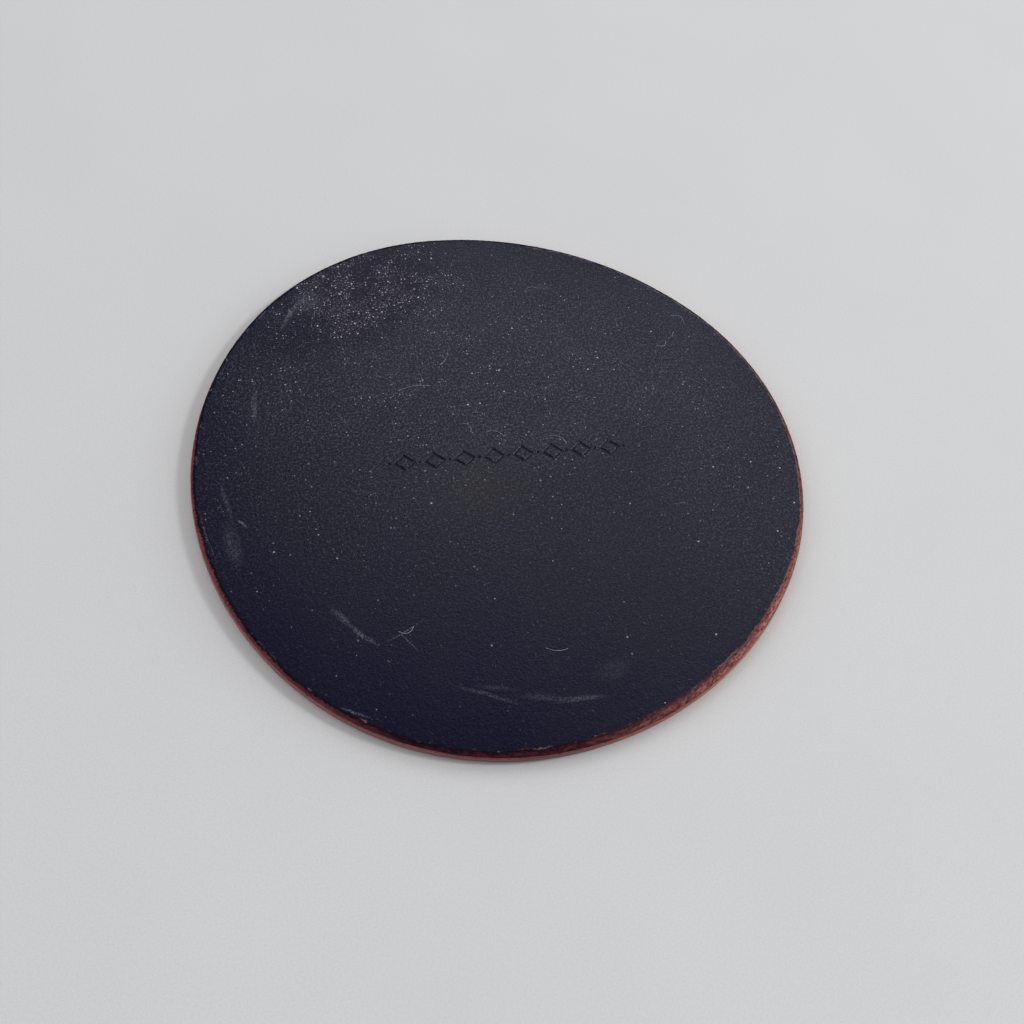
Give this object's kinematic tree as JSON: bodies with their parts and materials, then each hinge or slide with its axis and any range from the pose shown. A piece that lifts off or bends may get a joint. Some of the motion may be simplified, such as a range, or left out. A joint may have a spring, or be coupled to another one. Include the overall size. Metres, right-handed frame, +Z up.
{
  "type": "wine bottle coaster",
  "caption": "Hand-cut, nearly round leather disc that a wine bottle stands on: black grain face over a red-brown backing, with a bevelled rim and a burnished, coated edge.",
  "frame": {"origin": "middle of the outline's box, on the table", "axes": "+Z up through the disc to the black face; +X to the right along the middle of the disc, -Y to the front"},
  "size_m": [0.1152, 0.1146, 0.0032],
  "materials": {
    "backing_leather": "napped flesh side",
    "cement": "dried contact cement film",
    "top_leather": "waxed smooth grain",
    "edge_coat": "burnished edge coat, satin"
  },
  "bodies": {
    "root": {"backing_leather": "backing_leather", "cement": "cement", "top_leather": "top_leather", "edge_coat": "edge_coat"}
  },
  "joints": []
}
